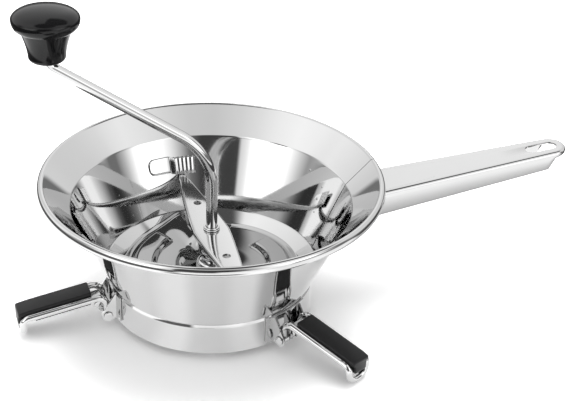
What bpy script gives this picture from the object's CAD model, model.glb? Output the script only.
import math

import bmesh
import bpy
import numpy as np
from mathutils import Matrix, Vector


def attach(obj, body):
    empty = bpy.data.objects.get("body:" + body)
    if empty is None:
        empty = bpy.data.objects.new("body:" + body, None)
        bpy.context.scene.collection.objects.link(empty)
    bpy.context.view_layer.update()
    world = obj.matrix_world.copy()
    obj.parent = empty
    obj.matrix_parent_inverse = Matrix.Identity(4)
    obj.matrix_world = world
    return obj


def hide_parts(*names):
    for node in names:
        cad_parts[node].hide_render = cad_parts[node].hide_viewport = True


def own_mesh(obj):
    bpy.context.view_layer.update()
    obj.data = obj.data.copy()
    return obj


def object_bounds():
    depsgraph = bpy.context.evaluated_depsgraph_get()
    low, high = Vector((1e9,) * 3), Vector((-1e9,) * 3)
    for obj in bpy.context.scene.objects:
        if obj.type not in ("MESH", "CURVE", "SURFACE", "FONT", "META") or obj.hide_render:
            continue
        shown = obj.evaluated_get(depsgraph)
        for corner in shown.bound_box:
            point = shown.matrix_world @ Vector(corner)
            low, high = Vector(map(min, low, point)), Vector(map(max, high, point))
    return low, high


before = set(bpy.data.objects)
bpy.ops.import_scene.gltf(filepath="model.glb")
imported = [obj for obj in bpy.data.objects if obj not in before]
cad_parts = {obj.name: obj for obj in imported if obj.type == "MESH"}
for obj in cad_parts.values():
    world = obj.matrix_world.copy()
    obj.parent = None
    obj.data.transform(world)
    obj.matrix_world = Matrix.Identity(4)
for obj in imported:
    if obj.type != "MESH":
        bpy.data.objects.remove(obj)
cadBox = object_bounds()
print("frame loaded")

mm = 0.001
tau = 2 * math.pi
floorLevel = -14.0  # mm; the hopper ring's lower edge stands this far below the spindle's end
sharpAngle = 38.0  # degrees; edges that turn by more stay sharp
mergeGap, leastEdge = 2e-6, 1e-7  # m; nearer points become one, shorter edges go
fit = 0.3  # mm; the gap between pieces that sit one inside the other


# Shapes

def addPiece(name, mesh):
    # an object for a mesh, put in the scene
    piece = bpy.data.objects.new(name, mesh)
    bpy.context.scene.collection.objects.link(piece)
    return piece


def smoothed(mesh, angle=sharpAngle):
    # smooth shading, kept sharp where faces turn by more than the angle
    mesh.shade_smooth()
    mesh.set_sharp_from_angle(angle=math.radians(angle))
    return mesh


def meshFrom(name, points, faces, sharp=sharpAngle):
    # points in mm above the ring's lower edge, put in metres in the frame; doubles merge and faces turn outwards
    placed = (np.asarray(points, float).reshape(-1, 3) + np.array([0, 0, floorLevel])) * mm
    mesh = bpy.data.meshes.new(name)
    mesh.from_pydata(placed.tolist(), [], faces)
    work = bmesh.new()
    work.from_mesh(mesh)
    bmesh.ops.remove_doubles(work, verts=work.verts, dist=mergeGap)
    bmesh.ops.dissolve_degenerate(work, edges=work.edges, dist=leastEdge)
    bmesh.ops.recalc_face_normals(work, faces=work.faces)
    work.to_mesh(mesh)
    work.free()
    return smoothed(mesh, sharp)


def gridFaces(rows, columns, aroundRows=False):
    # quads between neighbouring rows and columns; every row closes into a loop
    a, b = np.meshgrid(np.arange(rows if aroundRows else rows - 1), np.arange(columns), indexing="ij")
    c, d = (a + 1) % rows, (b + 1) % columns
    return np.stack([a * columns + b, c * columns + b, c * columns + d, a * columns + d], axis=-1).reshape(-1, 4)


def skin(name, grid, aroundRows=False, caps=False, sharp=sharpAngle):
    # a surface given by its grid of points; caps close the first and last row
    grid = np.asarray(grid, float)
    rows, columns = grid.shape[:2]
    faces = gridFaces(rows, columns, aroundRows).tolist()
    if caps:
        faces += [list(range(columns))[::-1], [(rows - 1) * columns + k for k in range(columns)]]
    return meshFrom(name, grid, faces, sharp)


def joined(name, meshes):
    # several closed shells as one mesh
    work = bmesh.new()
    for mesh in meshes:
        work.from_mesh(mesh)
        bpy.data.meshes.remove(mesh)
    result = bpy.data.meshes.new(name)
    work.to_mesh(result)
    work.free()
    return smoothed(result)


def arc(centre, radius, start, end, steps):
    # points of a circle from one angle to another, in radians
    a = np.linspace(start, end, steps + 1)
    return np.stack([centre[0] + radius * np.cos(a), centre[1] + radius * np.sin(a)], axis=-1)


def polar(radius, angle, height):
    # x = r cos a, y = r sin a, each pair with its height
    return np.stack(np.broadcast_arrays(radius * np.cos(angle), radius * np.sin(angle), height), axis=-1)


def runs(knots, counts):
    # evenly spaced values from knot to knot, with a count for each run
    spaced = [np.linspace(a, b, count)[1:] for a, b, count in zip(knots, knots[1:], counts)]
    return np.concatenate([knots[:1]] + spaced)


def roundedPath(corners, radii, steps=8):
    # straight runs whose inner corners are arcs that touch both runs
    corners = [np.asarray(c, float) for c in corners]
    path = [corners[0][None]]
    for before, corner, after, radius in zip(corners, corners[1:], corners[2:], radii):
        inward = (before - corner) / np.linalg.norm(before - corner)
        onward = (after - corner) / np.linalg.norm(after - corner)
        half = math.acos(np.clip(inward @ onward, -1, 1)) / 2
        bisector = (inward + onward) / np.linalg.norm(inward + onward)
        centre = corner + bisector * radius / math.sin(half)
        reach = radius / math.tan(half)
        first, last = corner + inward * reach - centre, corner + onward * reach - centre
        turn = math.pi - 2 * half
        share = np.linspace(0, 1, steps + 1)[:, None]
        path.append(centre + (np.sin((1 - share) * turn) * first + np.sin(share * turn) * last) / math.sin(turn))
    path.append(corners[-1][None])
    return np.concatenate(path)


def offsetPath(path, distance):
    # the path beside a flat one, to its left, mitred at each point
    path = np.asarray(path, float)
    run = np.diff(path, axis=0)
    run /= np.linalg.norm(run, axis=1)[:, None]
    left = np.stack([-run[:, 1], run[:, 0]], axis=-1)
    before = np.concatenate([left[:1], left])
    after = np.concatenate([left, left[-1:]])
    mitre = before + after
    mitre /= np.linalg.norm(mitre, axis=1)[:, None]
    return path + mitre * (distance / np.sum(mitre * before, axis=1))[:, None]


def densified(path, step):
    # extra points along the straight runs, no further apart than step
    path = np.asarray(path, float)
    pieces = []
    for a, b in zip(path[:-1], path[1:]):
        count = max(1, int(np.linalg.norm(b - a) / step))
        pieces.append(a + (b - a) * np.linspace(0, 1, count, endpoint=False)[:, None])
    return np.concatenate(pieces + [path[-1:]])


def turned(profile, angles):
    # a profile of (radius, height) carried round Z
    r, z = np.asarray(profile, float).T[:, :, None]
    return polar(r, angles, z)


def lathe(name, profile, sides=96, sharp=sharpAngle):
    # a closed profile carried once round Z
    grid = turned(profile, np.linspace(0, tau, sides, endpoint=False))
    return skin(name, grid, aroundRows=True, sharp=sharp)


def smoothStep(value, low, high):
    # 0 up to low, 1 from high on, and share ^ 2 * (3 - 2 * share) between them
    share = np.clip((np.asarray(value, float) - low) / (high - low), 0, 1)
    return share * share * (3 - 2 * share)


def plateau(value, low, high, flank):
    # 0 outside low and high, 1 inside, with a smooth flank at each end
    return smoothStep(value, low, low + flank) - smoothStep(value, high - flank, high)


def carried(path):
    # unit tangent and two cross directions at each station, turned as little as possible
    path = np.asarray(path, float)
    tangent = np.gradient(path, axis=0)
    tangent /= np.linalg.norm(tangent, axis=1)[:, None]
    side = np.zeros_like(path)
    first = np.cross(tangent[0], [0.0, 0.0, 1.0] if abs(tangent[0][2]) < 0.9 else [0.0, 1.0, 0.0])
    side[0] = first / np.linalg.norm(first)
    for i in range(1, len(path)):
        flat = side[i - 1] - tangent[i] * (side[i - 1] @ tangent[i])
        side[i] = flat / np.linalg.norm(flat)
    return tangent, side, np.cross(tangent, side)


def sweep(name, path, radius, sides, chamfer=0.0):
    # a circle carried along a path: p + r (cos a side + sin a up); a chamfer narrows both ends
    tangent, side, up = carried(path)
    path = np.asarray(path, float)
    radii = np.full(len(path), float(radius))
    if chamfer:
        ends = [path[0] + tangent[0] * chamfer * s for s in (0, 0.3, 1)]
        last = [path[-1] - tangent[-1] * chamfer * s for s in (1, 0.3, 0)]
        path = np.concatenate([ends, path[1:-1], last])
        taper = [radius - chamfer, radius - chamfer * 0.3, radius]
        radii = np.concatenate([taper, radii[1:-1], taper[::-1]])
        side = np.concatenate([side[:1]] * 3 + [side[1:-1]] + [side[-1:]] * 3)
        up = np.concatenate([up[:1]] * 3 + [up[1:-1]] + [up[-1:]] * 3)
    a = np.linspace(0, tau, sides, endpoint=False)
    ring = side[:, None] * np.cos(a)[None, :, None] + up[:, None] * np.sin(a)[None, :, None]
    return skin(name, path[:, None] + ring * radii[:, None, None], caps=True)


def cut(piece, cutter):
    # a hole through a finished piece
    tool = addPiece("holeTool", cutter)
    boolean = piece.modifiers.new("hole", "BOOLEAN")
    boolean.solver, boolean.object = "EXACT", tool
    bpy.context.view_layer.update()
    result = bpy.data.meshes.new_from_object(piece.evaluated_get(bpy.context.evaluated_depsgraph_get()))
    piece.modifiers.clear()
    piece.data = smoothed(result)
    bpy.data.objects.remove(tool, do_unlink=True)


def place(mesh, matrix):
    # turns or moves a finished mesh about the middle of the ring's lower edge
    shift = Matrix.Translation((0, 0, floorLevel * mm))
    mesh.transform(shift @ matrix @ shift.inverted())
    return mesh


# Materials: shader maths as plain expressions

class Socket:
    def __init__(self, tree, link):
        self.tree, self.link = tree, link

    def math(self, operation, other=None, swap=False):
        # one maths node; swap puts this value second
        node = self.tree.nodes.new("ShaderNodeMath")
        node.operation = operation
        first, second = (other, self) if swap else (self, other)
        for slot, value in zip(node.inputs, (first, second)):
            if value is not None:
                join(self.tree, slot, value)
        return Socket(self.tree, node.outputs[0])

    def __add__(self, other): return self.math("ADD", other)
    def __radd__(self, other): return self.math("ADD", other)
    def __sub__(self, other): return self.math("SUBTRACT", other)
    def __rsub__(self, other): return self.math("SUBTRACT", other, True)
    def __mul__(self, other): return self.math("MULTIPLY", other)
    def __rmul__(self, other): return self.math("MULTIPLY", other)
    def __truediv__(self, other): return self.math("DIVIDE", other)
    def __neg__(self): return self.math("MULTIPLY", -1.0)
    def __abs__(self): return self.math("ABSOLUTE")


def join(tree, slot, value):
    # links an input to a socket, or sets its own value
    if isinstance(value, Socket):
        tree.links.new(value.link, slot)
    elif slot.type == "RGBA" and len(value) == 3:
        slot.default_value = (*value, 1.0)
    else:
        slot.default_value = value


class Paint:
    # one material or world being built
    def __init__(self, owner):
        owner.use_nodes = True
        self.tree = owner.node_tree
        self.tree.nodes.clear()

    def node(self, kind, settings=None, values=None, output=0):
        # adds a node with its settings and inputs; stops are a ramp's positions and shades
        made = self.tree.nodes.new("ShaderNode" + kind)
        for name, value in (settings or {}).items():
            if name == "stops":
                ramp = made.color_ramp
                while len(ramp.elements) < len(value):
                    ramp.elements.new(0.5)
                for element, (position, shade) in zip(ramp.elements, value):
                    element.position = position
                    element.color = (shade, shade, shade, 1.0)
            else:
                setattr(made, name, value)
        for name, value in (values or {}).items():
            join(self.tree, made.inputs[name], value)
        return Socket(self.tree, made.outputs[output]) if made.outputs else None

    def range(self, value, low, high, toLow=0.0, toHigh=1.0):
        # a smooth step from one value to another between low and high
        return self.node("MapRange", {"interpolation_type": "SMOOTHSTEP"},
                         {"Value": value, "From Min": low, "From Max": high, "To Min": toLow, "To Max": toHigh})

    def step(self, value, middle, half, toLow=0.0, toHigh=1.0):
        # a smooth step that is half done at the middle
        return self.range(value, middle - half, middle + half, toLow, toHigh)

    def facing(self, heading, middle, outer, inner, toLow=0.0, toHigh=1.0):
        # a smooth step over the cosine between a heading in radians and a middle one; half widths in degrees
        return self.range((heading - math.radians(middle)).math("COSINE"), math.cos(math.radians(outer)),
                          math.cos(math.radians(inner)), toLow, toHigh)

    def mix(self, factor, first, second):
        # inputs 6 and 7 and output 2 are the node's colour sockets
        return self.node("Mix", {"data_type": "RGBA"}, {0: factor, 6: first, 7: second}, 2)

    def parts(self, vector):
        # a vector's x, y and z
        split = self.node("SeparateXYZ", values={0: vector}).link.node
        return [Socket(self.tree, part) for part in split.outputs]

    def noise(self, vector, scale, detail, roughness=0.5):
        # soft random clouds or grain
        return self.node("TexNoise", values={"Vector": vector, "Scale": scale, "Detail": detail,
                                             "Roughness": roughness})

    def ray(self, kind):
        # 1 for one kind of ray, 0 for the others
        return self.node("LightPath", output=kind)

    def surface(self, values):
        # the material's shader
        self.node("OutputMaterial", values={"Surface": self.node("BsdfPrincipled", values=values)})


seamAt = -1.7  # degrees from the handle's middle to the hopper's welded seam

metalLooks = {
    "seamSteel": dict(colour=(0.60, 0.60, 0.60), rough=0.045, vary=0.030, grain=220.0, bump=0.010,
                      seam=dict(dark=0.00016, clear=0.00042, shade=0.10, fadeFrom=0.02, fadeTo=0.03)),
    "sheetSteel": dict(colour=(0.62, 0.62, 0.62), rough=0.080, vary=0.040, grain=260.0, bump=0.015),
    "barSteel": dict(colour=(0.64, 0.64, 0.64), rough=0.060, vary=0.030, grain=300.0, bump=0.010),
    "leafSteel": dict(colour=(0.62, 0.62, 0.62), rough=0.085, vary=0.030, grain=400.0, bump=0.012,
                      stretch=(6, 0.5, 1)),
    "discSteel": dict(colour=(0.56, 0.56, 0.56), rough=0.040, vary=0.020, grain=300.0, bump=0.008),
    "bladeSteel": dict(colour=(0.40, 0.40, 0.40), rough=0.045, vary=0.020, grain=300.0, bump=0.008),
    "springSteel": dict(colour=(0.50, 0.50, 0.51), rough=0.220, vary=0.080, grain=500.0, bump=0.020),
}
# what the metals share: the scale of the clouds, the share of vary that clouds and lines take, the darkest shade
metalWear = dict(cloud=14.0, less=0.4, more=0.6, lines=0.8, darkest=0.965, relief=0.0003)


def metal(name, colour, rough, vary, grain, bump, stretch=(1, 1, 1), seam=None):
    # polished metal: soft cloudy roughness, fine drawn lines and a trace of unevenness
    w = metalWear
    material = bpy.data.materials.new(name)
    paint = Paint(material)
    spot = paint.node("TexCoord", output=3)
    cloud = paint.noise(spot, w["cloud"], 3.0)
    fine = paint.noise(paint.node("Mapping", values={"Vector": spot, "Scale": stretch}), grain, 4.0, 0.6)
    roughness = (paint.range(cloud, 0.35, 0.65, rough - vary * w["less"], rough + vary * w["more"])
                 + (fine - 0.5) * (vary * w["lines"]))
    shade = paint.mix(paint.range(cloud, 0.3, 0.7), tuple(c * w["darkest"] for c in colour), colour)
    if seam:
        # burnt dark along the welded seam: the distance across the half plane at the seam's azimuth
        x, y, _ = paint.parts(spot)
        along, across = math.cos(math.radians(seamAt)), math.sin(math.radians(seamAt))
        line = paint.range(abs(y * along - x * across), seam["dark"], seam["clear"], 1.0, 0.0)
        line = line * paint.range(x, seam["fadeFrom"], seam["fadeTo"])
        shade = paint.mix(line, shade, tuple(c * seam["shade"] for c in colour))
    normal = paint.node("Bump", values={"Strength": bump, "Distance": w["relief"], "Height": fine})
    paint.surface({"Base Color": shade, "Metallic": 1.0, "Roughness": roughness, "Normal": normal})
    return material


plasticLooks = {
    "knobPlastic": dict(colour=(0.006, 0.006, 0.0065), rough=0.10, vary=0.03, grain=900.0, bump=0.004, gloss=1.34),
    "padPlastic": dict(colour=(0.009, 0.009, 0.0095), rough=0.40, vary=0.08, grain=1500.0, bump=0.050, gloss=1.36),
}
plasticWear = dict(cloud=40.0, palest=1.35, relief=0.0002)


def plastic(name, colour, rough, vary, grain, bump, gloss):
    # moulded plastic: fine pebble, faint clouds of handling wear
    w = plasticWear
    material = bpy.data.materials.new(name)
    paint = Paint(material)
    spot = paint.node("TexCoord", output=3)
    pebble, cloud = paint.noise(spot, grain, 2.0), paint.noise(spot, w["cloud"], 2.0)
    roughness = paint.range(cloud, 0.3, 0.7, rough - vary * 0.5, rough + vary * 0.5)
    shade = paint.mix(paint.range(pebble, 0.35, 0.7), colour, tuple(c * w["palest"] for c in colour))
    normal = paint.node("Bump", values={"Strength": bump, "Distance": w["relief"], "Height": pebble})
    paint.surface({"Base Color": shade, "Metallic": 0.0, "Roughness": roughness, "Normal": normal, "IOR": gloss})
    return material


finishes = {name: metal(name, **look) for name, look in metalLooks.items()}
finishes.update({name: plastic(name, **look) for name, look in plasticLooks.items()})
slotOf = dict.fromkeys(("seamSteel", "sheetSteel", "leafSteel", "discSteel", "bladeSteel"), "polished_steel")
slotOf.update(barSteel="bright_drawn_steel", springSteel="spring_steel", knobPlastic="gloss_black_plastic",
              padPlastic="satin_black_plastic")
print("materials made")


def finishMesh(mesh, finish):
    # one material in place of what the mesh had
    mesh.materials.clear()
    mesh.materials.append(finishes[finish])


def dress(name, mesh, body, finish, *nodes):
    # a finished piece: its material, its body, the CAD nodes that it stands for
    piece = addPiece(name, mesh) if isinstance(mesh, bpy.types.Mesh) else mesh
    finishMesh(piece.data, finish)
    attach(piece, body)
    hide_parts(*nodes)
    return piece


# Hopper

hopper = dict(sheet=0.9, rimRadius=117.3, rimHeight=94.0, bead=3.0, rollTight=2.48, rollFlat=5.4, flatFrom=1.0,
              flatTo=29.0, flatBlend=3.0, creaseRadius=98.8, creaseHeight=78.9, creaseBlend=4.0, ringRadius=72.2,
              ringTop=23.8, shoulder=0.8, footBlend=1.0, grooveDrop=3.4, grooveDepth=0.70, grooveBlend=0.4,
              grooveLow=0.35, edge=0.25, longest=2.5, seamDepth=0.16, seamWidth=0.26, lapTurn=0.036, lapLift=0.30,
              lapBlend=0.0008, lapInset=2.0, lapFade=2.0)
wallFoot = hopper["ringRadius"] + hopper["shoulder"]
wallSlope = (hopper["creaseRadius"] - wallFoot) / (hopper["creaseHeight"] - hopper["ringTop"])
wallSecant = math.sqrt(1 + wallSlope ** 2)


def wallRadius(height, offset=0.0):
    # the cone's radius at a height, moved square to its outer face
    return wallFoot + wallSlope * (np.asarray(height, float) - hopper["ringTop"]) + offset * wallSecant


def rolledRim():
    # the roll's section: each step along it is its radius of curvature times the turn of its face, and that radius
    # is larger over the side that faces out and a little up; it touches the brim's inner face and meets its outer
    # face where it rolls under
    h = hopper
    rise, run = h["rimHeight"] - h["creaseHeight"], h["rimRadius"] - h["creaseRadius"]
    slope = math.atan2(rise, run) + math.asin((h["bead"] - h["sheet"]) / math.hypot(rise, run))
    inward = slope + math.pi / 2
    normal = np.array([math.cos(inward), math.sin(inward)])
    crease = np.array([h["creaseRadius"], h["creaseHeight"]])
    face = np.linspace(0, inward, 61)
    flat = plateau(np.degrees(face), h["flatFrom"] - h["flatBlend"], h["flatTo"] + h["flatBlend"], 2 * h["flatBlend"])
    curve = h["rollTight"] + (h["rollFlat"] - h["rollTight"]) * flat
    step = np.stack([-np.sin(face), np.cos(face)], axis=-1) * curve[:, None]
    path = np.concatenate([[[0, 0]], np.cumsum((step[1:] + step[:-1]) / 2 * np.diff(face)[:, None], axis=0)])
    across = h["rimRadius"] + h["bead"] + path[-1, 0]
    innerFace = crease + normal * h["sheet"]
    level = innerFace[1] + (across - innerFace[0]) * math.tan(slope) - path[-1, 1]
    start = np.array([h["rimRadius"] + h["bead"], level])
    centre = start - np.array([h["bead"], 0])
    under = inward + math.acos((crease - centre) @ normal / h["bead"]) - tau
    return np.concatenate([arc(centre, h["bead"], under, 0, 36)[:-1], start + path])


def hopperProfile():
    # outer face up from the ring, round the roll, inner face down; also how many points lie on the outer face
    h = hopper
    bead = rolledRim()
    corners = [(h["ringRadius"], 0), (h["ringRadius"], h["ringTop"] - h["grooveDrop"]),
               (h["ringRadius"] - h["grooveDepth"], h["ringTop"] - h["grooveDrop"] * h["grooveLow"]),
               (wallFoot, h["ringTop"]), (h["creaseRadius"], h["creaseHeight"]), tuple(bead[0])]
    outer = roundedPath(corners, [h["grooveBlend"]] * 2 + [h["footBlend"], h["creaseBlend"]], 10)
    inner = offsetPath(outer, h["sheet"])[:-1]
    low = np.array([(h["ringRadius"] - h["edge"], 0.0), (h["ringRadius"], h["edge"])])
    high = np.array([(inner[0][0], h["edge"]), (inner[0][0] + h["edge"], 0.0)])
    outerFine = densified(np.concatenate([low, outer[1:-1]]), h["longest"])
    innerFine = densified(np.concatenate([bead[-1:], inner[::-1][:-1]]), h["longest"])[1:]
    return np.concatenate([outerFine, bead, innerFine, high]), len(outerFine) + len(bead)


def buildHopper():
    # the profile carried round Z from the welded seam, where the sheet's ends meet in a groove as deep as
    # exp(-(distance / width) ^ 2); inside the cone one end laps the other by a strip that stands a little proud
    h = hopper
    # angles in radians: close steps at the seam and at the lap's edge, even ones of a degree or so elsewhere
    near = np.array([0.0, 0.0008, 0.0016, 0.0024, 0.0034, 0.0046, 0.0062, 0.0085, 0.012])
    lap = h["lapTurn"] + h["lapBlend"] * np.array([-3, -1, 0, 1, 3])
    degree = 0.0174
    even = np.linspace(degree, tau - degree, 357)
    even = even[np.abs(even - h["lapTurn"]) > 4 * h["lapBlend"]]
    angles = np.sort(np.concatenate([near, lap, even, tau - near[1:]]))
    profile, outerCount = hopperProfile()
    r, z = profile.T
    away = np.minimum(angles, tau - angles)
    dip = np.exp(-((away[None] * r[:, None]) / h["seamWidth"]) ** 2) * h["seamDepth"]
    inside = np.arange(len(r)) >= outerCount
    low, high = h["ringTop"] + h["lapInset"], h["creaseHeight"] - h["lapInset"]
    onCone = plateau(z, low, high, h["lapFade"])
    strip = plateau(angles, 0, h["lapTurn"] + h["lapBlend"], 2 * h["lapBlend"])
    radius = r[:, None] + np.where(inside, 1.0, -1.0)[:, None] * dip
    radius = radius - h["lapLift"] * np.where(inside, onCone, 0)[:, None] * strip
    grid = polar(radius, angles + math.radians(seamAt), z[:, None])
    return skin("hopperShell", grid, aroundRows=True, sharp=50)


# welds inside the cone; each spot is an azimuth in degrees, a height and a radius
weld = dict(sunk=0.2, rise=0.25, bead=0.42, beadRise=0.16, beadPitch=1.9, beadAside=0.35, overRing=5, underCrease=3,
            spots=[(24.2, 71.0, 0.85), (13.2, 65.7, 0.85), (11.0, 48.5, 0.75), (13.0, 57.0, 0.95)])


def weldDot(azimuth, height, radius, rise, sides=14):
    # a low dome on the cone's inner face: a quarter ellipse of radius and rise carried round, its rim sunk in
    a = np.linspace(0, math.pi / 2, 5)
    dome = [(radius * math.cos(t), rise * math.sin(t)) for t in a[:-1]] + [(0.0, rise)]
    profile = np.array([(0.0, -weld["sunk"]), (radius, -weld["sunk"])] + dome)
    grid = turned(profile, np.linspace(0, tau, sides, endpoint=False))
    mesh = skin("weldDot", grid + np.array([0, 0, -floorLevel]))
    turn = math.radians(azimuth)
    normal = Vector((-math.cos(turn), -math.sin(turn), wallSlope)).normalized()
    reach = float(wallRadius(height, -hopper["sheet"]))
    spot = Vector((reach * math.cos(turn), reach * math.sin(turn), height + floorLevel)) * mm
    mesh.transform(Matrix.Translation(spot) @ normal.to_track_quat("Z", "Y").to_matrix().to_4x4())
    return mesh


def buildWelds():
    # four spots, and a row of beads down the seam
    spots = [weldDot(azimuth, height, radius, weld["rise"]) for azimuth, height, radius in weld["spots"]]
    heights = np.arange(hopper["ringTop"] + weld["overRing"], hopper["creaseHeight"] - weld["underCrease"],
                        weld["beadPitch"])
    return spots + [weldDot(seamAt - weld["beadAside"], z, weld["bead"], weld["beadRise"], 10) for z in heights]


dress("hopperShell", joined("hopperShell", [buildHopper()] + buildWelds()), "hopper_body", "seamSteel", "hopper")


def wallPatch(name, azimuths, lows, highs, lift, thick, sections=5, edge=0.25):
    # a rounded strip that follows the cone: column angles, its lower and upper edge, and how far in it stands
    # from the cone's outer face
    azimuths, lows, highs, lift = (np.broadcast_to(np.asarray(v, float), np.shape(azimuths)) for v in
                                   (azimuths, lows, highs, lift))
    up = np.linspace(0, 1, sections)
    bevel = [(edge * (1 - math.cos(a)), edge * math.sin(a)) for a in np.linspace(0, math.pi / 2, 4)]
    loop = [(0.0, s, 0.0) for s in up]
    loop += [(d, 1.0, o) for d, o in bevel[1:]] + [(thick - d, 1.0, o) for d, o in bevel[::-1]]
    loop += [(thick, s, 0.0) for s in up[::-1]]
    loop += [(thick - d, 0.0, -o) for d, o in bevel[1:]] + [(d, 0.0, -o) for d, o in bevel[::-1]]
    depth, share, over = np.array(loop).T
    height = lows[:, None] + edge + (highs - lows - 2 * edge)[:, None] * share + over
    radius = wallRadius(height, -(lift[:, None] + depth))
    return skin(name, polar(radius, azimuths[:, None], height), caps=True)


# Crossbar lugs: a plate welded to the cone, stepped out into a corrugated hook

lug = dict(sheet=1.2, low=56.6, high=67.6, plateStart=15.3, plateTip=3.0, plateFlat=12.0, corner=4.0,
           stepStart=5.2, stepEnd=2.6, freeEnd=-7.5, bridge=4.4, rib=0.35, ribs=5, wallAt=87.0)


def buildLug(name, turnDegrees):
    # stand-off = step from the wall out to the bridge - rounded ribs along the bridge
    g = lug
    degrees = np.concatenate([g["plateStart"] - (1 - np.cos(np.linspace(0, math.pi / 2, 8))) * g["plateTip"],
                              runs([g["plateFlat"], g["stepStart"], g["stepEnd"], g["freeEnd"]], [6, 14, 64])])
    flush = hopper["sheet"] + fit
    rise = smoothStep(-degrees, -g["stepStart"], -g["stepEnd"])
    along = np.clip((g["stepEnd"] - degrees) / (g["stepEnd"] - g["freeEnd"]), 0, 1)
    ripple = g["rib"] * (1 - np.cos(along * g["ribs"] * tau)) / 2
    lift = flush + (g["bridge"] - flush) * rise - ripple
    fromEnd = np.radians(g["plateStart"] - degrees) * g["wallAt"]
    reach = np.clip(g["corner"] - fromEnd, 0, g["corner"])
    trim = g["corner"] - np.sqrt(g["corner"] ** 2 - reach ** 2)
    return wallPatch(name, np.radians(degrees + turnDegrees), g["low"] + trim, g["high"] - trim, lift, g["sheet"])


for name, turnDegrees, node in (("rearLug", 90.0, "crossbar_lug_rear"), ("frontLug", -90.0, "crossbar_lug_front")):
    dress(name, buildLug(name, turnDegrees), "hopper_body", "sheetSteel", node)


# Handle: a channel folded from sheet, with a hanging slot

handle = dict(sheet=1.2, rootX=88.0, noseX=271.2, rootHeight=74.3, slope=4.47, rootHalf=19.5, noseHalf=12.4,
              rootDepth=19.2, endDepth=13.0, lipDepth=4.6, cutbackX=254.3, cutbackLength=5.5, round=2.6,
              slotX=252.3, slotLength=24.2, slotWidth=9.8, slotEdge=0.35, rootGap=0.5, rootStep=12.0,
              fan=150.0, rootFan=153.0, wallBow=0.6, tabLow=57.5, tabHigh=72.2, tabRoot=9.0, tabReach=24.0)


def handleTop(x):
    # height = the root's height + the distance from the root * tan(slope)
    return handle["rootHeight"] + (np.asarray(x, float) - handle["rootX"]) * math.tan(math.radians(handle["slope"]))


def handleDepth(x):
    # the side walls' height under the top, cut back before the nose
    h = handle
    share = np.clip((x - h["rootX"]) / (h["cutbackX"] - h["rootX"]), 0, 1)
    long = h["rootDepth"] + (h["endDepth"] - h["rootDepth"]) * share
    fall = np.clip((x - h["cutbackX"]) / h["cutbackLength"], 0, 1)
    return long + (h["lipDepth"] - h["endDepth"]) * fall


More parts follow.
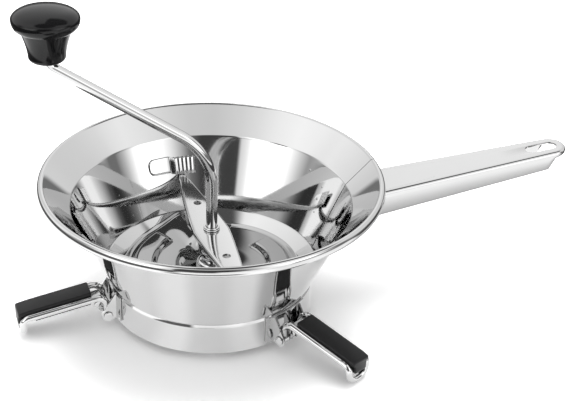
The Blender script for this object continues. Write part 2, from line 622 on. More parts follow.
def buildHandle():
    # columns run round one half of the top's outline, from the root to the nose; rows run from the slot over the
    # edge, down the wall and back underneath; at the root they meet the cone
    h = handle
    noseX = h["noseX"] - h["noseHalf"]
    halfSlot = (h["slotLength"] - h["slotWidth"]) / 2
    slotLeft, slotRight, slotR = h["slotX"] - halfSlot, h["slotX"] + halfSlot, h["slotWidth"] / 2
    stations = runs([h["rootX"], h["rootX"] + h["rootStep"], slotLeft, h["cutbackX"], noseX], [2, 22, 4, 5])
    taper = (h["noseHalf"] - h["rootHalf"]) / (noseX - h["rootX"])
    noseAngles = np.linspace(math.pi / 2, 0, 25)[1:]
    noseCos, noseSin = np.cos(noseAngles), np.sin(noseAngles)
    leftShare = np.clip((stations - h["rootX"]) / (slotLeft - h["rootX"]), 0, 1)
    leftAngle = math.radians(h["fan"]) + (math.pi / 2 - math.radians(h["fan"])) * leftShare
    slotX = np.where(stations < slotLeft, slotLeft + slotR * np.cos(leftAngle), np.clip(stations, slotLeft, slotRight))
    slotY = np.where(stations < slotLeft, slotR * np.sin(leftAngle), slotR)
    rootCount = 9
    rootY = np.linspace(0, h["rootHalf"] - h["round"], rootCount)
    rootAngle = np.linspace(math.pi, math.radians(h["rootFan"]), rootCount)
    # p is the outline, n its outward normal and s the slot's edge, each over the root, the side and the nose
    px = np.concatenate([np.full(rootCount, h["rootX"]), stations, noseX + h["noseHalf"] * noseCos])
    py = np.concatenate([rootY, h["rootHalf"] + taper * (stations - h["rootX"]), h["noseHalf"] * noseSin])
    nx = np.concatenate([np.zeros(rootCount + len(stations)), noseCos])
    ny = np.concatenate([np.zeros(rootCount), np.ones(len(stations)), noseSin])
    sx = np.concatenate([slotLeft + slotR * np.cos(rootAngle), slotX, slotRight + slotR * noseCos])
    sy = np.concatenate([slotR * np.sin(rootAngle), slotY, slotR * noseSin])
    away = np.stack([sx - np.clip(sx, slotLeft, slotRight), sy], axis=-1)
    away /= np.linalg.norm(away, axis=1)[:, None]
    isRoot = np.arange(len(px)) < rootCount
    atRoot = px <= h["rootX"] + 1e-6
    depth = np.where(isRoot, h["sheet"], handleDepth(px))
    t, r, e = h["sheet"], h["round"], h["slotEdge"]
    # each row: its kind, its share of the way or its inset, its drop below the top, and its drop at the root
    rows = [("slot", 0.0, t, t), ("slot", 0.0, e, e), ("slot", e * 0.3, e * 0.3, e * 0.3), ("slot", e, 0.0, 0.0)]
    rows += [("span", s, 0.0, 0.0) for s in (0.15, 0.4, 0.7)]
    rows += [("edge", r * (1 - math.sin(a)), r * (1 - math.cos(a)), 0.0) for a in np.linspace(0, math.pi / 2, 9)]
    bow = h["wallBow"]
    rows += [("wall", bow * s * s, s, s * t) for s in (0.15, 0.3, 0.45, 0.6, 0.75, 0.9)]
    rows += [("hem", bow + t / 2 * (1 - math.cos(a)), t / 2 * math.sin(a), t) for a in np.linspace(0, math.pi, 7)]
    rows += [("wall", t + bow * s * s, s, t) for s in (0.9, 0.6, 0.3)]
    rows += [("edge", r - (r - t) * math.sin(a), r - (r - t) * math.cos(a), t) for a in np.linspace(math.pi / 2, 0, 6)]
    rows += [("under", s, t, t) for s in (0.7, 0.4, 0.15)]
    section = []
    for kind, a, drop, rootDrop in rows:
        if kind == "slot":
            x, y = sx + away[:, 0] * a, sy + away[:, 1] * a
        elif kind in ("span", "under"):
            x, y = sx + (px - nx * r - sx) * a, sy + (py - ny * r - sy) * a
        else:
            x, y = px - nx * a, py - ny * a
        fall = {"wall": r + (depth - t / 2 - r) * drop, "hem": depth - t / 2 + drop}.get(kind, drop)
        d = np.where(isRoot, rootDrop, fall)
        z = handleTop(px if kind in ("wall", "hem") else x) - d
        share = {"slot": 0.0, "span": a, "under": a}.get(kind, 1.0)
        for _ in range(2):
            onWall = np.sqrt(np.maximum(wallRadius(z, h["rootGap"]) ** 2 - np.where(isRoot, py, y) ** 2, 0))
            moved = np.where(atRoot, x + (onWall - h["rootX"]) * share, x)
            z = np.where(atRoot, handleTop(moved) - d, z)
        section.append(np.stack([moved, y, z], axis=-1))
    half = np.stack(section)
    mirror = half[:, ::-1] * np.array([1, -1, 1])
    grid = np.concatenate([half, mirror[:, 1:-1]], axis=1)
    return skin("handleChannel", grid, aroundRows=True, sharp=32)


def buildTabs():
    # curved tabs that carry the channel on the cone's outer face
    h = handle
    azimuths = np.radians(np.linspace(h["tabRoot"], h["tabReach"], 24))
    return [wallPatch("tab", azimuths * sign, h["tabLow"], h["tabHigh"], -(fit + h["sheet"]), h["sheet"])
            for sign in (1, -1)]


dress("handleChannel", joined("handleChannel", [buildHandle()] + buildTabs()), "hopper_body", "sheetSteel", "handle")
print("hopper, lugs and handle made")


# Crossbar

bar = dict(sheet=1.5, height=56.2, half=12.9, endHalf=2.8, halfLength=84.5, taper=1.3, flange=4.8, flangeFade=3,
           lip=0.3, fold=1.9, edge=0.3, tab=10.2, tabRun=3.0, tabInset=0.4, tabBend=2.0, wallGap=0.7, hole=3.0,
           holeAt=38.0, bush=5.3, drill=8.0, tabStep=1.2, leastFlat=0.1, leastFold=0.05)


def buildCrossbar():
    # a folded section carried along the bar: leaf, two folds and two flanges that fade towards the ends
    b = bar
    t, edge = b["sheet"], b["edge"]
    endHigh = b["height"] + b["tab"]
    wallX, endX = (float(wallRadius(z, -hopper["sheet"] - b["wallGap"] - t)) for z in (b["height"] + t, endHigh))
    leaf = np.linspace(0, b["halfLength"] - b["tabRun"], 40)
    flat = np.stack([leaf[:-1], np.full(len(leaf) - 1, b["height"])], axis=-1)
    line = roundedPath([(leaf[-1], b["height"]), (wallX - b["tabInset"], b["height"]), (endX, endHigh)],
                       [b["tabBend"]], 8)
    right = np.concatenate([flat, densified(line, b["tabStep"])])
    path = np.concatenate([right[:0:-1] * np.array([-1, 1]), right])
    step = offsetPath(path, -1.0) - path
    share = np.clip(np.abs(path[:, 0]) / b["halfLength"], 0, 1)
    half = b["half"] + (b["endHalf"] - b["half"]) * share ** b["taper"]
    deep = b["flange"] + (t + b["lip"] - b["flange"]) * share ** b["flangeFade"]
    fold = np.minimum(b["fold"], deep - b["leastFlat"])
    inFold = np.maximum(fold - t, b["leastFold"])
    turn = np.linspace(0, math.pi / 2, 7)
    outer = [(half - fold * (1 - math.cos(a)), fold * (1 - math.sin(a))) for a in turn]
    hem = [(half, deep - edge), (half - edge, deep), (half - t + edge, deep), (half - t, deep - edge)]
    inner = [(half - t - inFold * (1 - math.cos(a)), t + inFold * (1 - math.sin(a))) for a in turn]
    loop = [(-s, d) for s, d in outer] + outer[::-1] + hem + inner
    loop += [(-s, d) for s, d in inner[::-1] + hem[::-1]]
    across = np.stack([s for s, _ in loop], axis=1)
    drop = np.minimum(np.stack([d for _, d in loop], axis=1), deep[:, None])
    y = path[:, :1] + step[:, :1] * drop
    z = path[:, 1:] + step[:, 1:] * drop
    piece = addPiece("crossbarLeaf", skin("crossbarLeaf", np.stack([across, y, z], axis=-1), caps=True))
    for y, radius in ((0.0, b["bush"]), (b["holeAt"], b["hole"]), (-b["holeAt"], b["hole"])):
        ring = arc((0, y), radius, 0, tau, 36)[:-1]
        ends = [np.column_stack([ring, np.full(len(ring), b["height"] + side * b["drill"])]) for side in (-1, 1)]
        cut(piece, skin("holeTool", np.stack(ends), caps=True))
    return piece


dress("crossbarLeaf", buildCrossbar(), "hopper_body", "leafSteel", "crossbar")


def ringProfile(bore, radius, low, high, edge=0.2):
    # a plain ring's section with small chamfers
    return [(bore, low), (radius - edge, low), (radius, low + edge), (radius, high - edge), (radius - edge, high),
            (bore + edge * 0.5, high), (bore, high - edge * 0.5)]


rodRadius = 4.0
bore = rodRadius + fit
bush = dict(sleeve=5.0, flange=5.8, thick=1.0, edge=0.3)
clip = dict(radius=5.5, thick=0.9)
washer = dict(radius=8.5, thick=0.8)
barUnder = bar["height"] - bar["sheet"]
bushLow = bar["height"] + fit
bushTop = bushLow + bush["thick"]
clipLow = bushTop + fit
washerTop = barUnder - fit


def bushProfile():
    # a sleeve through the bar under a flange with chamfered edges
    b, e = bush, bush["edge"]
    return [(bore, barUnder), (b["sleeve"], barUnder), (b["sleeve"], bushLow), (b["flange"] - e, bushLow),
            (b["flange"], bushLow + e), (b["flange"], bushTop - e), (b["flange"] - e, bushTop), (bore + e, bushTop),
            (bore, bushTop - e)]


dress("crossbarBush", lathe("crossbarBush", bushProfile(), 72), "hopper_body", "sheetSteel", "crossbar_bushing")
clipRing = ringProfile(bore, clip["radius"], clipLow, clipLow + clip["thick"])
dress("shaftClip", lathe("shaftClip", clipRing, 64), "crank", "barSteel", "shaft_clip")
washerRing = ringProfile(bore, washer["radius"], washerTop - washer["thick"], washerTop)
dress("springWasher", lathe("springWasher", washerRing, 64), "hopper_body", "barSteel", "spring_washer")


# Sieve disc with its full pattern of holes

disc = dict(sheet=0.8, lip=30.3, lipIn=0.1, lipUnder=0.4, floor=22.5, floorRadius=64.5, floorBend=2.0, lipBend=0.5,
            bore=4.6, hole=1.25, pitch=4.6, inner=14.0, rows=11, spacing=1.05, sides=12, squareness=1.3)


def buildDisc():
    # rings of cells: each cell is a patch between a round hole and the cell's own squarish border, at both faces,
    # with the hole's wall; a plain core inside the rings and a dished band outside them
    d = disc
    k, pitch = d["sides"], d["pitch"]
    a = np.linspace(0, tau, k, endpoint=False) + tau / k / 2
    edgeU = np.clip(np.cos(a) * d["squareness"], -1, 1)
    edgeV = np.clip(np.sin(a) * d["squareness"], -1, 1)
    top, bottom = d["floor"] + d["sheet"] / 2, d["floor"] - d["sheet"] / 2
    quads = gridFaces(4, k)
    points, faces, start = [], [], 0
    for row in range(d["rows"]):
        radius = d["inner"] + row * pitch
        count = int(tau * radius / pitch / d["spacing"])
        centre = ((np.arange(count) + 0.5 * (row % 2)) * tau / count)[:, None]
        rBorder = radius + edgeV * pitch / 2
        tBorder = centre + edgeU * math.pi / count
        border = rBorder * np.cos(tBorder), rBorder * np.sin(tBorder)
        out, aside = radius + d["hole"] * np.sin(a), d["hole"] * np.cos(a)
        hole = out * np.cos(centre) - aside * np.sin(centre), out * np.sin(centre) + aside * np.cos(centre)
        cell = [np.stack(np.broadcast_arrays(*p, z), axis=-1)
                for p, z in ((border, top), (hole, top), (hole, bottom), (border, bottom))]
        points.append(np.stack(cell, axis=1).reshape(-1, 3))
        faces.append((quads[None] + (start + np.arange(count) * 4 * k)[:, None, None]).reshape(-1, 4))
        start += count * 4 * k
    holes = meshFrom("holes", np.concatenate(points), np.concatenate(faces).tolist(), 30)
    first, last = d["inner"] - pitch / 2, d["inner"] + (d["rows"] - 0.5) * pitch
    lip = float(wallRadius(d["lip"], -hopper["sheet"] - fit))
    middle = roundedPath([(last, d["floor"]), (d["floorRadius"], d["floor"]),
                          (lip - d["sheet"], d["lip"] - d["sheet"]), (lip - d["lipIn"], d["lip"] - d["lipUnder"])],
                         [d["floorBend"], d["lipBend"]], 8)
    above, below = offsetPath(middle, d["sheet"] / 2), offsetPath(middle, -d["sheet"] / 2)
    band = lathe("band", np.concatenate([above, below[::-1]]), 180)
    core = lathe("core", [(d["bore"], bottom), (first, bottom), (first, top), (d["bore"], top)], 96)
    return joined("sieveDisc", [holes, band, core])


dress("sieveDisc", buildDisc(), "hopper_body", "discSteel", "sieve_disc")
print("crossbar and disc made")


# Crank: spindle, arm and knob pin bent from one bar

crank = dict(end=14.0, apex=116.3, rise=30.93, bend=44.0, turn=165.0, reach=109.0, knobBend=7.0, stem=4.2,
             bore=24.0, boreGap=1.0, chamfer=0.6)
armEnd = crank["apex"] + crank["reach"] * math.tan(math.radians(crank["rise"]))
knobBase = armEnd + crank["stem"]
crankTurn = Matrix.Rotation(math.radians(crank["turn"]), 4, "Z")
rodCorners = [(0, 0, crank["end"]), (0, 0, crank["apex"]), (crank["reach"], 0, armEnd),
              (crank["reach"], 0, knobBase + crank["bore"] - crank["boreGap"])]
rodPath = densified(roundedPath(rodCorners, [crank["bend"], crank["knobBend"]], 28), 6.0)
rod = sweep("crankRod", rodPath, rodRadius, 48, chamfer=crank["chamfer"])
dress("crankRod", place(rod, crankTurn), "crank", "barSteel", "crank_rod")

knob = dict(height=36.5, neck=12.6, crease=17.7, creaseLevel=22.1, cap=22.8, capLevel=29.2, foot=3.0, flare=1.6,
            ring=5.8, ringLevel=17.0, ringHalf=0.5, groove=6.1, grooveHalf=0.8)


def knobProfile():
    # foot round, neck that flares as share ^ flare, soft crease, rounded brim and a low dome: an ellipse of cap
    # radius and crown height; inside, the bore with a groove for the ring
    k = knob
    base = knobBase
    foot = arc((k["neck"] - k["foot"], base + k["foot"]), k["foot"], -math.pi / 2, 0, 10)
    share = np.linspace(0, 1, 18)[1:]
    neck = np.stack([k["neck"] + (k["crease"] - k["neck"]) * share ** k["flare"],
                     base + k["foot"] + (k["creaseLevel"] - k["foot"]) * share], axis=-1)
    a = np.linspace(0, math.pi / 2, 14)[1:]
    depth = k["capLevel"] - k["creaseLevel"]
    under = np.stack([k["crease"] + (k["cap"] - k["crease"]) * np.sin(a),
                      base + k["capLevel"] - depth * np.cos(a)], axis=-1)
    b = np.linspace(0, math.pi / 2, 26)[1:]
    dome = np.stack([k["cap"] * np.cos(b),
                     base + k["capLevel"] + (k["height"] - k["capLevel"]) * np.sin(b)], axis=-1)
    end = base + crank["bore"]
    high, low = (base + k["ringLevel"] + side * k["grooveHalf"] for side in (1, -1))
    inside = [(0.0, end), (bore, end), (bore, high), (k["groove"], high), (k["groove"], low), (bore, low), (bore, base)]
    return np.concatenate([foot, neck, under, dome, inside])


knobPlace = crankTurn @ Matrix.Translation((crank["reach"] * mm, 0, 0))
dress("knobTurned", place(lathe("knobTurned", knobProfile(), 128, 50), knobPlace), "knob", "knobPlastic", "knob")
ringMiddle = knobBase + knob["ringLevel"]
retainer = ringProfile(bore, knob["ring"], ringMiddle - knob["ringHalf"], ringMiddle + knob["ringHalf"])
dress("knobRing", place(lathe("knobRing", retainer, 48), knobPlace), "crank", "barSteel", "knob_retaining_ring")


# Blade: two pressed wings on a hub

blade = dict(sheet=1.1, radius=61.8, span=142.0, lead=98.0, lipSpan=45.0, leadLift=7.0, decay=12.0, ramp=5.0,
             rimLift=2.0, rimWidth=3.4, root=7.0, rootFlat=0.5, full=30.0, lipPower=1.4, ribInner=38.0,
             ribOuter=57.5, ribFlank=5.0, ribLift=3.6, ribStart=20.0, ribEnd=112.0, ribTip=6.0, edge=0.3)
hub = dict(radius=10.8, height=8.5, dome=2.8, collar=8.0, edge=0.3)
hubLow = disc["floor"] + disc["sheet"] / 2 + fit
hubTop = hubLow + hub["height"]


def bladeHeight(radius, behind):
    # underside: a lip that falls away as exp(-(angle / decay) ^ power), a long ramp, a lifted rim and a pressed rib
    b = blade
    lead = b["leadLift"] * np.exp(-(np.maximum(behind, 0) / b["decay"]) ** b["lipPower"])
    ramp = b["ramp"] * (1 - behind / b["span"])
    lift = (lead + ramp) * smoothStep(radius, hub["radius"] + b["rootFlat"], b["full"])
    rim = b["rimLift"] * smoothStep(radius, b["radius"] - b["rimWidth"], b["radius"])
    rib = (b["ribLift"] * plateau(radius, b["ribInner"], b["ribOuter"], b["ribFlank"])
           * plateau(behind, b["ribStart"], b["ribEnd"], b["ribTip"]))
    return hubLow + lift + rim + rib


def buildWing(k):
    # two faces of the sheet over (angle, radius), closed round their border
    b = blade
    behind = runs([0, b["lipSpan"], b["span"]], [60, 70])
    radii = runs([b["root"], b["full"], b["radius"] - b["edge"]], [20, 48])
    behindGrid, radius = np.meshgrid(behind, radii, indexing="ij")
    angle = np.radians(b["lead"] + k * 180 + behindGrid)
    outward = np.stack([np.cos(angle), np.sin(angle), 0 * angle], axis=-1)
    lower = outward * radius[..., None]
    lower[..., 2] = bladeHeight(radius, behindGrid)
    upper = lower + np.array([0, 0, b["sheet"]])
    rim = [lower[:, -1:] + (upper - lower)[:, -1:] * s + outward[:, -1:] * b["edge"] * math.sin(math.pi * s)
           for s in (0.15, 0.5, 0.85)]
    return skin("wing", np.concatenate([lower] + rim + [upper[:, ::-1]], axis=1))


def capped(mesh):
    # closes the open ends of a flattened tube with strips between its two faces
    work = bmesh.new()
    work.from_mesh(mesh)
    bmesh.ops.holes_fill(work, edges=[e for e in work.edges if e.is_boundary], sides=0)
    bmesh.ops.triangulate(work, faces=[f for f in work.faces if len(f.verts) > 4])
    bmesh.ops.recalc_face_normals(work, faces=work.faces)
    work.to_mesh(mesh)
    work.free()
    return smoothed(mesh)


bladeCollar = lathe("collar", ringProfile(bore, hub["radius"], hubLow, hubLow + blade["sheet"]), 96)
dress("bladeWings", joined("bladeWings", [capped(buildWing(0)), capped(buildWing(1)), bladeCollar]), "crank",
      "bladeSteel", "blade")

hubBottom = hubLow + blade["sheet"] + fit
hubDome = arc((hub["collar"], hubTop - hub["dome"]), hub["radius"] - hub["collar"], 0, math.pi / 2, 12)
hubProfile = [(bore, hubBottom), (hub["radius"] - hub["edge"], hubBottom), (hub["radius"], hubBottom + hub["edge"])]
hubProfile += hubDome.tolist() + [(bore, hubTop)]
dress("bladeHub", lathe("bladeHub", hubProfile, 96), "crank", "sheetSteel", "blade_hub")
finishMesh(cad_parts["hub_pin"].data, "barSteel")

spring = dict(radius=6.4, wire=0.8, turns=4.5)


def buildSpring():
    # a helix: angle and height grow together along the wire
    low = hubTop + fit + spring["wire"]
    high = washerTop - washer["thick"] - fit - spring["wire"]
    s = np.linspace(0, 1, 220)
    a = tau * spring["turns"] * s + math.radians(crank["turn"])
    path = polar(spring["radius"], a, low + (high - low) * s)
    return sweep("pressureSpring", path, spring["wire"], 14)


springPiece = dress("pressureSpring", buildSpring(), "hopper_body", "springSteel", "pressure_spring")
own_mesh(springPiece)
print("crank, blade and spring made")


# Folding feet

foot = dict(pinReach=78.0, pinHeight=5.0, pinRadius=2.0, pinHead=3.2, pinHeadThick=1.2, wire=2.5, spread=8.8,
            armTop=14.34, slope=9.84, archBend=7.0, reach=58.9, dropBend=5.0, loopBend=7.5, loopDepth=7.98, eye=3.8,
            eyeEdge=0.5, padStart=10.5, grooveEnd=50.0, grooveStep=0.2, padEnd=62.0, padHalf=7.8, noseHalf=5.8,
            padTop=5.0, padEdge=1.0, endInset=0.9, droop=1.2, bracket=1.2, earGap=0.5, rivetX=5.8, rivetZ=6.2,
            rivet=1.6, rivetHead=2.6, rivetThick=0.8, droopTop=0.4,
            droopLow=0.2, grooveNear=0.3, endRound=1.0, headSide=0.45)
footAngles = {"left": 180.0, "front": -60.0, "rear": 60.0}


def footLine(x):
    # the wires' height over the pin at a distance from it
    return foot["armTop"] - np.asarray(x, float) * math.tan(math.radians(foot["slope"]))


def buildFootWire():
    # one wire: up from an eye, out along a sloping arm, down and across under the pad, and back the same way
    f = foot
    s, end = f["spread"], float(footLine(f["reach"]))
    half = [(0, s, 0), (0, s, f["armTop"]), (f["reach"], s, end), (f["reach"], s, -f["loopDepth"])]
    bends = [f["archBend"], f["dropBend"], f["loopBend"]]
    path = roundedPath(half + [(x, -y, z) for x, y, z in half[::-1]], bends + bends[::-1], 12)
    rod = sweep("footWire", densified(path, 5.0), f["wire"], 28)
    eyes = []
    for sign in (1, -1):
        eye = lathe("eye", ringProfile(f["pinRadius"] + fit, f["eye"], -f["wire"], f["wire"], f["eyeEdge"]), 40)
        eyes.append(place(eye, Matrix.Translation((0, sign * s * mm, 0)) @ Matrix.Rotation(math.pi / 2, 4, "X")))
    return joined("footWire", [rod] + eyes)


def padSection(x):
    # half outline (y, z): flat top and bottom with rounded edges, a round groove for the wire; past the groove's end
    # the top keeps its width over the wire and the lower half is narrower
    f = foot
    groove = f["wire"] + fit
    middle = float(footLine(x))
    low = f["droop"] * max(0.0, (x - f["grooveEnd"]) / (f["padEnd"] - f["grooveEnd"])) ** 2
    e = f["padEdge"]
    blend = float(smoothStep(x, f["grooveEnd"] - f["grooveStep"], f["grooveEnd"] + f["grooveStep"]))
    under = f["padHalf"] + (f["noseHalf"] - f["padHalf"]) * blend
    turn = np.linspace(0, math.pi / 2, 5)
    top, bottom = middle + f["padTop"] - low * f["droopTop"], middle - f["padTop"] + low * f["droopLow"]
    up = [f["padHalf"] - e + e * np.sin(turn), top - e + e * np.cos(turn)]
    reachIn = math.asin((f["spread"] - f["padHalf"]) / groove)
    angles = np.linspace(reachIn, math.pi - reachIn, 13)
    share = blend * smoothStep(angles, 0.45 * math.pi, 0.55 * math.pi)
    side = [(f["spread"] - groove * np.sin(angles)) * (1 - share) + under * share, middle + groove * np.cos(angles)]
    down = [under - e + e * np.sin(turn[::-1]), bottom + e - e * np.cos(turn[::-1])]
    return np.concatenate([up, side, down], axis=1).T


def buildPad():
    # sections carried along the arm, shrunk towards both ends as a quarter circle
    f = foot
    step, ends = f["grooveStep"], f["endRound"] * np.array([0, 0.15, 0.5, 1.0])
    knots = [f["padStart"] + ends[-1], f["grooveEnd"] - f["grooveNear"], f["grooveEnd"] - step, f["grooveEnd"],
             f["grooveEnd"] + step, f["padEnd"] - ends[-1]]
    stations = np.concatenate([f["padStart"] + ends[:-1], runs(knots, [20, 2, 2, 2, 10]), f["padEnd"] - ends[2::-1]])
    grid = []
    for x in stations:
        section = padSection(x)
        inset = max(0.0, 1 - min(x - f["padStart"], f["padEnd"] - x) / f["endRound"])
        shrink = (1 - math.sqrt(max(0.0, 1 - inset ** 2))) * f["endInset"]
        centre = float(footLine(x))
        y = section[:, 0] - shrink
        z = centre + (section[:, 1] - centre) * (1 - shrink / f["padTop"])
        whole = np.concatenate([np.stack([y, z], axis=-1), np.stack([-y[::-1], z[::-1]], axis=-1)])
        grid.append(np.concatenate([np.full((len(whole), 1), x), whole], axis=1))
    return skin("footPad", np.array(grid), caps=True)


def pinProfile(radius, head, thick, grip):
    # a pin with a head at each end, along its axis: a straight side under a dome, a quarter ellipse carried round
    a, side = np.linspace(0, math.pi / 2, 8), foot["headSide"]
    top = np.stack([head * np.cos(a), grip + thick * side + thick * (1 - side) * np.sin(a)], axis=-1)
    half = [(radius, 0.0), (radius, grip), (head, grip)] + top.tolist()
    mirrored = [(r, -z) for r, z in half[::-1][:-1]]
    return np.array(half + mirrored)


def headedPin(name, radius, head, thick, grip, x, z):
    # a pin that lies across the foot, at a distance out from the hinge and a height over it
    turn = Matrix.Translation((x * mm, 0, z * mm)) @ Matrix.Rotation(math.pi / 2, 4, "X")
    grid = turned(pinProfile(radius, head, thick, grip), np.linspace(0, tau, 40, endpoint=False))
    return place(skin(name, grid, aroundRows=True), turn)


earFace = foot["spread"] + foot["wire"] + foot["earGap"] + foot["bracket"]
cheekFace = foot["spread"] - foot["wire"] - fit


def buildHingePin():
    # through the bracket's ears and the wire's eyes
    return headedPin("hingePin", foot["pinRadius"], foot["pinHead"], foot["pinHeadThick"], earFace + fit, 0, 0)


def buildYokeRivet():
    # through the yoke's cheeks
    return headedPin("yokeRivet", foot["rivet"], foot["rivetHead"], foot["rivetThick"], cheekFace + fit,
                     foot["rivetX"], foot["rivetZ"])


# how each piece is made, its finish, the CAD node that it stands for, and whether it swings with the foot
footShapes = {
    "footWire": (buildFootWire, "barSteel", "foot_wire", True),
    "footPad": (buildPad, "padPlastic", "foot_pad", True),
    "hingePin": (buildHingePin, "sheetSteel", "foot_hinge_pin", False),
    "yokeRivet": (buildYokeRivet, "sheetSteel", "foot_yoke_rivet", True),
}
outTo = Matrix.Translation((foot["pinReach"] * mm, 0, foot["pinHeight"] * mm))
for side, degrees in footAngles.items():
    turn = Matrix.Rotation(math.radians(degrees), 4, "Z") @ outTo
    for name, (build, finish, node, swings) in footShapes.items():
        label = name + side.title()
        mesh = place(build(), turn)
        mesh.name = label
        dress(label, mesh, f"foot_{side}" if swings else "hopper_body", finish, f"{node}_{side}")
    for node in ("foot_bracket", "foot_yoke"):
        finishMesh(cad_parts[f"{node}_{side}"].data, "sheetSteel")
print("feet made")


# Studio

# distances in m from the spindle, headings in degrees; what the table shows in polished steel: dark round the
# camera, dim beside the handle and at the table's far end
paper = dict(size=6.0, below=0.0002, colour=0.93, seen=1.56, gapColour=0.03, gapNear=0.15, gapFull=0.27,
             gapFar=0.33, gapEdge=0.03, gapFrom=231.0, gapTo=270.0, gapBlend=5.0, sideFrom=0.09, sideFull=0.13,
             sideNear=0.075, sideFar=0.15, sideDim=0.55, openAt=290.0, openOuter=58.0, openInner=50.0, endNear=0.36,
             endFar=0.40, endDim=0.95)
# how much the paper glows in polished steel, by heading from the spindle
paperGlow = [(0, 0.45), (170, 0.55), (180, 0.64), (195, 0.62), (210, 0.58), (222, 0.74), (234, 0.78), (243, 0.52),
             (262, 0.47), (272, 0.60), (283, 0.61), (291, 0.24), (302, 0.27), (312, 0.46), (322, 0.34),
             (335, 0.31), (350, 0.45), (360, 0.45)]


def buildFloor():
    # a wide plain table under the feet
    p = paper
    size, level = p["size"], cadBox[0][2] - p["below"]
    mesh = bpy.data.meshes.new("studioFloor")
    corners = [(-size, -size, level), (size, -size, level), (size, size, level), (-size, size, level)]
    mesh.from_pydata(corners, [], [(0, 1, 2, 3)])
    floor = addPiece("studioFloor", mesh)
    material = bpy.data.materials.new("floorPaper")
    paint = Paint(material)
    glossy, camera = paint.ray("Is Glossy Ray"), paint.ray("Is Camera Ray")
    x, y, _ = paint.parts(paint.node("TexCoord", output=3))
    turn = (y.math("ARCTAN2", x) / tau).math("FRACT")
    heading = turn * 360
    away = (x * x + y * y).math("SQRT")
    gap = paint.step(heading, p["gapFrom"], p["gapBlend"]) * paint.step(heading, p["gapTo"], p["gapBlend"], 1.0, 0.0)
    gap = gap * paint.range(away, p["gapNear"], p["gapFull"])
    clear = 1 - gap * paint.step(away, p["gapFar"], p["gapEdge"], 1.0, 0.0)
    inSteel = p["gapColour"] + (p["colour"] - p["gapColour"]) * clear
    beside = paint.range(x, p["sideFrom"], p["sideFull"]) * paint.range(-y, p["sideNear"], p["sideFar"], 1.0, 0.0)
    ahead = paint.facing(turn * tau, p["openAt"], p["openOuter"], p["openInner"])
    end = (1 - ahead) * paint.range(away, p["endNear"], p["endFar"])
    kept = (1 - p["sideDim"] * beside) * (1 - p["endDim"] * end)
    glow = paint.node("ValToRGB", {"stops": [(a / 360, v) for a, v in paperGlow]}, {"Fac": turn}) * kept
    shade = p["colour"] + camera * (p["seen"] - p["colour"]) + glossy * (inSteel * kept - p["colour"])
    paint.surface({"Base Color": shade, "Roughness": 0.9, "Emission Color": (1.0, 1.0, 1.0),
                   "Emission Strength": glow * glossy * clear})
    mesh.materials.append(material)


# the screens' lower band ends higher over the gap; the roof comes down further at the back; the far end of the table
# meets the screens at gapFoot degrees, brighter round footAt
studio = dict(ambient=0.62, peak=2.3, lowBand=36.0, gapBand=15.0, bandBlend=7.0, gapAt=255.0, gapOuter=60.0,
              gapInner=35.0, zenith=71.0, roofAt=38.0, roofEdge=50.0, roofOuter=46.0, roofInner=36.0, roofBlend=3.0,
              zenithShade=0.12, gapFoot=8.0, foot=1.5, footSide=0.25, footAt=281.0, footOuter=26.0, footInner=20.0,
              footBlend=2.0)
# what polished steel sees round the horizon: white screens, and a dark gap round the camera;
# each stop is a heading in degrees and a brightness
lowScreens = [(0, 1.05), (30, 1.0), (55, 1.05), (68, 1.3), (95, 0.95), (108, 1.0), (122, 1.2), (140, 1.4),
              (150, 1.2), (160, 0.65), (168, 0.5), (176, 1.0), (184, 1.6), (190, 2.3), (218, 2.3), (224, 1.4),
              (229.5, 1.1), (231.5, 0.08), (264, 0.07), (274, 0.25), (281, 0.7), (288, 1.2), (296, 1.7), (303, 2.3),
              (318, 2.3), (325, 1.4), (331, 0.8), (339, 0.25), (346, 0.25), (353, 0.8), (360, 1.05)]
highScreens = [(0, 1.15), (40, 1.0), (70, 1.1), (110, 1.1), (140, 1.4), (168, 1.55), (186, 1.4), (204, 1.2),
               (222, 1.05), (252, 0.92), (282, 0.96), (306, 1.1), (330, 1.28), (342, 1.35), (352, 1.25), (360, 1.15)]


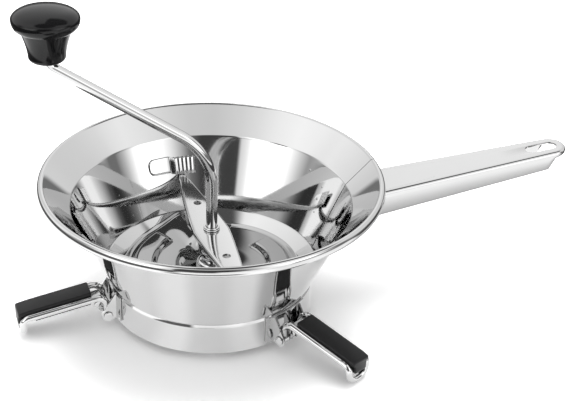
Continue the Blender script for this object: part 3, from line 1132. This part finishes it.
def buildWorld():
    # white for the camera, the screens for reflections, plain soft light for the rest
    s = studio
    world = bpy.data.worlds.new("studioWorld")
    bpy.context.scene.world = world
    paint = Paint(world)
    x, y, z = paint.parts(paint.node("TexCoord", output=0))
    turn = (y.math("ARCTAN2", x) / tau).math("FRACT")
    heading = turn * tau
    height = z.math("ARCSINE") * (180 / math.pi)
    low, high = (paint.node("ValToRGB", {"stops": [(a / 360, v / s["peak"]) for a, v in stops]}, {"Fac": turn})
                 * s["peak"] for stops in (lowScreens, highScreens))
    band = paint.facing(heading, s["gapAt"], s["gapOuter"], s["gapInner"], s["lowBand"], s["lowBand"] + s["gapBand"])
    tent = low + (high - low) * paint.step(height - band, 0, s["bandBlend"])
    back = paint.facing(heading, s["roofAt"], s["roofOuter"], s["roofInner"])
    roof = paint.step(height + back * (s["zenith"] - s["roofEdge"]), s["zenith"], s["roofBlend"])
    tent = tent + (s["zenithShade"] - tent) * roof
    ahead = paint.facing(heading, s["footAt"], s["footOuter"], s["footInner"], s["footSide"], s["foot"])
    tent = ahead + (tent - ahead) * paint.step(height, s["gapFoot"], s["footBlend"])
    glossy = paint.ray("Is Glossy Ray")
    level = s["ambient"] * (1 - glossy) + tent * glossy
    seen = (paint.ray("Is Camera Ray") + paint.ray("Is Transmission Ray")).math("MINIMUM", 1.0)
    level = level * (1 - seen) + seen
    background = paint.node("Background", values={"Color": (1.0, 1.0, 1.0), "Strength": level})
    paint.node("OutputWorld", values={"Surface": background})


lamps = {"overhead": dict(at=(0.2, 0.3, 1.7), power=14.0, size=1.6),
         "key": dict(at=(0.25, 0.45, 1.6), power=9.0, size=1.2)}


def addLamp(name, at, power, size):
    # a round soft lamp that looks at the spindle's end and doesn't show in the steel
    data = bpy.data.lights.new(name, "AREA")
    data.shape, data.size, data.energy = "DISK", size, power
    lamp = bpy.data.objects.new(name, data)
    bpy.context.scene.collection.objects.link(lamp)
    lamp.location = at
    lamp.rotation_euler = (-Vector(at)).to_track_quat("-Z", "Y").to_euler()
    lamp.visible_glossy = False


buildFloor()
buildWorld()
for name, lamp in lamps.items():
    addLamp(name, **lamp)


# Camera: three quarters from the front left, looking down on the hopper

view = dict(place=(-0.2591, -0.9099, 0.6030), heading=71.04, pitch=29.57, roll=1.948, focal=98.73, sensor=36.0)


def buildCamera():
    # forward from heading and pitch; right and up are then rolled about it
    heading, pitch, roll = (math.radians(view[k]) for k in ("heading", "pitch", "roll"))
    forward = Vector((math.cos(heading) * math.cos(pitch), math.sin(heading) * math.cos(pitch), -math.sin(pitch)))
    right = Vector((math.sin(heading), -math.cos(heading), 0))
    up = right.cross(forward)
    rightRolled = right * math.cos(roll) + up * math.sin(roll)
    upRolled = up * math.cos(roll) - right * math.sin(roll)
    data = bpy.data.cameras.new("camera")
    data.lens, data.sensor_width = view["focal"], view["sensor"]
    camera = bpy.data.objects.new("camera", data)
    bpy.context.scene.collection.objects.link(camera)
    turn = Matrix((rightRolled, upRolled, -forward)).transposed().to_4x4()
    camera.matrix_world = Matrix.Translation(view["place"]) @ turn
    bpy.context.scene.camera = camera


buildCamera()
bpy.context.scene.view_settings.view_transform = "Standard"
print("studio made")
